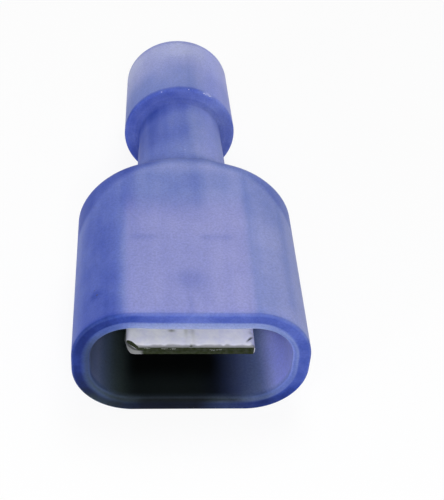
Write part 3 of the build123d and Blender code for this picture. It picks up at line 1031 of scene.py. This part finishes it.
def makeSpecks(material):
    kinds = (("Flatness", "Float"), ("Seed", "Int"), ("Finish", "Material"))
    tree, sizes, output = newGeometryTree("specksOnSkin", kinds)

    def stored(name, kind):
        return addNode(tree, "GeometryNodeInputNamedAttribute", {"data_type": kind}, Name=name).outputs[0]

    grain = addNode(tree, "GeometryNodeMeshIcoSphere", None, Radius=1.0, Subdivisions=2).outputs[0]
    vectors = {"data_type": "FLOAT_VECTOR"}
    uneven = addNode(tree, "FunctionNodeRandomValue", vectors, i0=(0.8,) * 3, i1=(1.2,) * 3)
    tree.links.new(sizes["Seed"], uneven.inputs["Seed"])
    flat = addNode(tree, "ShaderNodeCombineXYZ", None, X=1.0, Y=1.0, Z=sizes["Flatness"]).outputs[0]
    shape = addNode(tree, "ShaderNodeVectorMath", {"operation": "MULTIPLY"}, i0=flat, i1=uneven.outputs[0])
    scale = addNode(tree, "ShaderNodeVectorMath", {"operation": "SCALE"}, i0=shape.outputs[0])
    tree.links.new(stored("speckSize", "FLOAT"), scale.inputs["Scale"])
    facing = stored("facing", "FLOAT_VECTOR")
    turn = addNode(tree, "FunctionNodeAlignRotationToVector", {"axis": "Z"}, Vector=facing).outputs[0]
    placed = addNode(tree, "GeometryNodeInstanceOnPoints", None, Points=sizes["Geometry"], Instance=grain)
    tree.links.new(turn, placed.inputs["Rotation"])
    tree.links.new(scale.outputs[0], placed.inputs["Scale"])
    finishTree(tree, placed.outputs[0], sizes["Finish"], output)

    points, facings = [], []
    for degree, distance, size, _, inset in specks["places"]:
        angle = math.radians(degree)
        nearby = np.array([angle, angle + 0.01, angle - 0.01])
        radii = sectionRadius(nearby, inset) if inset > 0 else outsideRadius(nearby, distance)
        radius, lean = radii[0], (radii[1] - radii[2]) / 0.02 / radii[0]
        out = Vector((math.cos(angle) + lean * math.sin(angle), 0, math.sin(angle) - lean * math.cos(angle)))
        facings.append(out.normalized() * (-1 if inset > 0 else 1))
        onSkin = Vector((radius * math.cos(angle), mouthY + distance, axisZ + radius * math.sin(angle)))
        points.append((onSkin - facings[-1] * size * specks["flatness"] * specks["sunk"]) * mm)
    base = bpy.data.meshes.new("speckPoints")
    base.from_pydata(points, [], [])
    setAttribute(base, "speckSize", [place[2] * mm for place in specks["places"]])
    setAttribute(base, "darkness", [place[3] for place in specks["places"]])
    stored = base.attributes.new("facing", "FLOAT_VECTOR", "POINT")
    stored.data.foreach_set("vector", [c for facing in facings for c in facing])
    values = {"Flatness": specks["flatness"], "Seed": specks["seed"], "Finish": material}
    mesh = plainMesh("skinSpecks", base, tree, values)
    shadeSmooth(mesh)
    piece = newPiece("skinSpecks", mesh, material)
    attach(piece, "root")
    print("specks:", len(mesh.polygons), "faces")


# Floor, backdrop light and lamps

stageLook = {
    "floorSize": 2.0,
    "floorColour": (0.95, 0.95, 0.96),
    "whiteShare": 0.88,
    "worldStrength": 0.3,
    "lamps": (  # name, place, disk size, power
        ("softbox", (0.02, 0.05, 0.18), 0.1, 0.1),
        ("frontBox", (0.0, -0.125, 0.1), 0.05, 0.13),
        ("sideBox", (-0.1, -0.1, 0.04), 0.04, 0.05),
    ),
}


def backdropRays(tree):  # what the camera, a reflection or a view through the part sees as white
    rays = addNode(tree, "ShaderNodeLightPath").outputs
    shiny = calculate(tree, "ADD", rays["Is Glossy Ray"], rays["Is Transmission Ray"])
    return calculate(tree, "ADD", rays["Is Camera Ray"], shiny, clamp=True)


def makeFloor():
    half = stageLook["floorSize"] / 2
    mesh = bpy.data.meshes.new("floor")
    corners = [(-half, -half, 0), (half, -half, 0), (half, half, 0), (-half, half, 0)]
    mesh.from_pydata(corners, [], [(0, 1, 2, 3)])
    floor = bpy.data.objects.new("floor", mesh)
    scene.collection.objects.link(floor)
    material = bpy.data.materials.new("paper")
    material.use_nodes = True
    tree = material.node_tree
    tree.nodes.clear()
    output = tree.nodes.new("ShaderNodeOutputMaterial")
    paper = addNode(tree, "ShaderNodeBsdfDiffuse", Color=(*stageLook["floorColour"], 1.0)).outputs[0]
    white = addNode(tree, "ShaderNodeEmission", Color=(1.0, 1.0, 1.0, 1.0), Strength=1.0).outputs[0]
    share = calculate(tree, "MULTIPLY", backdropRays(tree), stageLook["whiteShare"])
    mixed = addNode(tree, "ShaderNodeMixShader", Fac=share, i1=paper, i2=white).outputs[0]
    tree.links.new(mixed, output.inputs[0])
    mesh.materials.append(material)


def makeWorld():
    world = bpy.data.worlds.new("studio")
    world.use_nodes = True
    tree = world.node_tree
    tree.nodes.clear()
    output = tree.nodes.new("ShaderNodeOutputWorld")
    level = addNode(tree, "ShaderNodeMapRange", Value=backdropRays(tree))
    level.inputs["To Min"].default_value = stageLook["worldStrength"]
    level.inputs["To Max"].default_value = 1.0
    light = addNode(tree, "ShaderNodeBackground", Color=(1.0, 1.0, 1.0, 1.0), Strength=level.outputs[0])
    tree.links.new(light.outputs[0], output.inputs[0])
    scene.world = world


def makeLamps():
    for name, place, size, power in stageLook["lamps"]:
        lamp = bpy.data.lights.new(name, "AREA")
        lamp.shape, lamp.size, lamp.energy = "DISK", size, power
        holder = bpy.data.objects.new(name, lamp)
        scene.collection.objects.link(holder)
        holder.location = place
        holder.rotation_mode = "QUATERNION"
        holder.rotation_quaternion = (Vector((0, 0, 0.003)) - Vector(place)).to_track_quat("-Z", "Y")


# Camera: found from the outline of the part in the photo

cameraPlace = {
    "location": (-3.28486, -47.51617, 42.36093),
    "elevation": 41.642,
    "azimuth": 6.898,
    "roll": 5.114,
    "lens": 77.68,
}


def makeCamera():
    c = cameraPlace
    elevation, azimuth, roll = (math.radians(c[k]) for k in ("elevation", "azimuth", "roll"))
    flat = math.cos(elevation)
    forward = Vector((math.sin(azimuth) * flat, math.cos(azimuth) * flat, -math.sin(elevation)))
    levelRight = forward.cross(Vector((0, 0, 1))).normalized()
    levelUp = levelRight.cross(forward)
    right = levelRight * math.cos(roll) + levelUp * math.sin(roll)
    up = levelUp * math.cos(roll) - levelRight * math.sin(roll)
    camera = bpy.data.cameras.new("camera")
    camera.lens, camera.sensor_width, camera.sensor_fit = c["lens"], 36.0, "AUTO"
    camera.clip_start, camera.clip_end = 0.001, 5.0
    holder = bpy.data.objects.new("camera", camera)
    scene.collection.objects.link(holder)
    turned = Matrix((right, up, -forward)).transposed().to_4x4()
    turned.translation = Vector(c["location"]) * mm
    holder.matrix_world = turned
    scene.camera = holder


makeCamera()
tinned, fleck = makeTin("tinnedBrass", tinLook), makeFleck()
makeHousing(makeNylon())
makeTerminal(tinned)
makeSleeve(makeTin("tinnedCopper", tinLook))
makeEdgeGrains(fleck, tinned)
makeSpecks(fleck)
makeFloor()
makeWorld()
makeLamps()
scene.view_settings.view_transform = "Standard"
